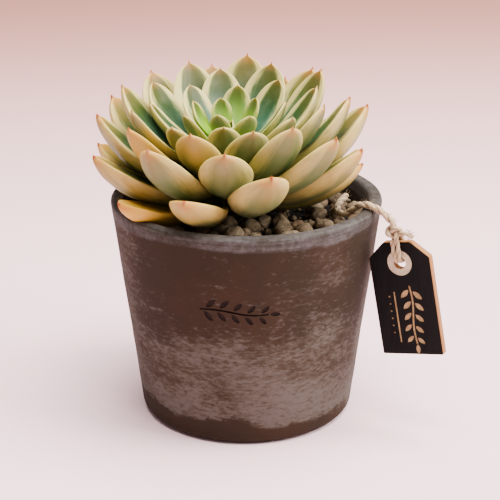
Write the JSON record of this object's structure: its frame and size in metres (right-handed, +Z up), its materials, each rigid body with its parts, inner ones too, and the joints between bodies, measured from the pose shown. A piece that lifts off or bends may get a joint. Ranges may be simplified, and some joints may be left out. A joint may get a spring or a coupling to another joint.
{
  "type": "potted succulent",
  "caption": "Rosette succulent with thick pointed leaves in a tapered round clay pot topped with gravel, with a chamfered tag hung from its rim on twine.",
  "frame": {"origin": "centre of the pot's flat underside", "axes": "+Z up along the pot's axis, +X towards the side where the tag hangs, -Y towards the side the plant leans to"},
  "size_m": [0.1391, 0.1105, 0.1394],
  "materials": {
    "fired_clay": "matte unglazed clay with a chalky bloom",
    "potting_soil": "matte, crumbly",
    "pumice_gravel": "matte, rough",
    "succulent_stem": "matte",
    "succulent_leaf": "satin, waxy",
    "painted_plywood": "matte black paint, bare wood edges",
    "jute_twine": "matte, fibrous"
  },
  "bodies": {
    "root": {"leaf_01": "succulent_leaf", "leaf_02": "succulent_leaf", "leaf_03": "succulent_leaf", "leaf_05": "succulent_leaf", "leaf_06": "succulent_leaf", "leaf_07": "succulent_leaf", "leaf_08": "succulent_leaf", "leaf_09": "succulent_leaf", "leaf_10": "succulent_leaf", "leaf_11": "succulent_leaf", "leaf_12": "succulent_leaf", "leaf_13": "succulent_leaf", "leaf_14": "succulent_leaf", "leaf_15": "succulent_leaf", "leaf_16": "succulent_leaf", "leaf_17": "succulent_leaf", "leaf_18": "succulent_leaf", "leaf_19": "succulent_leaf", "leaf_20": "succulent_leaf", "leaf_21": "succulent_leaf", "leaf_22": "succulent_leaf", "leaf_23": "succulent_leaf", "leaf_24": "succulent_leaf", "leaf_25": "succulent_leaf", "leaf_26": "succulent_leaf", "leaf_27": "succulent_leaf", "leaf_28": "succulent_leaf", "leaf_29": "succulent_leaf", "leaf_30": "succulent_leaf", "leaf_31": "succulent_leaf", "leaf_32": "succulent_leaf", "leaf_33": "succulent_leaf", "leaf_34": "succulent_leaf", "leaf_35": "succulent_leaf", "leaf_36": "succulent_leaf", "leaf_37": "succulent_leaf", "leaf_38": "succulent_leaf", "leaf_39": "succulent_leaf", "leaf_40": "succulent_leaf", "leaf_41": "succulent_leaf", "leaf_42": "succulent_leaf", "leaf_43": "succulent_leaf", "leaf_44": "succulent_leaf", "leaf_45": "succulent_leaf", "leaf_46": "succulent_leaf", "leaf_47": "succulent_leaf", "leaf_48": "succulent_leaf", "leaf_49": "succulent_leaf", "leaf_50": "succulent_leaf", "stem": "succulent_stem", "soil": "potting_soil", "gravel": "pumice_gravel", "pot": "fired_clay", "tag": "painted_plywood", "twine": "jute_twine", "twine_knot": "jute_twine", "twine_strand_1": "jute_twine", "twine_strand_2": "jute_twine", "twine_tail": "jute_twine"}
  },
  "joints": []
}
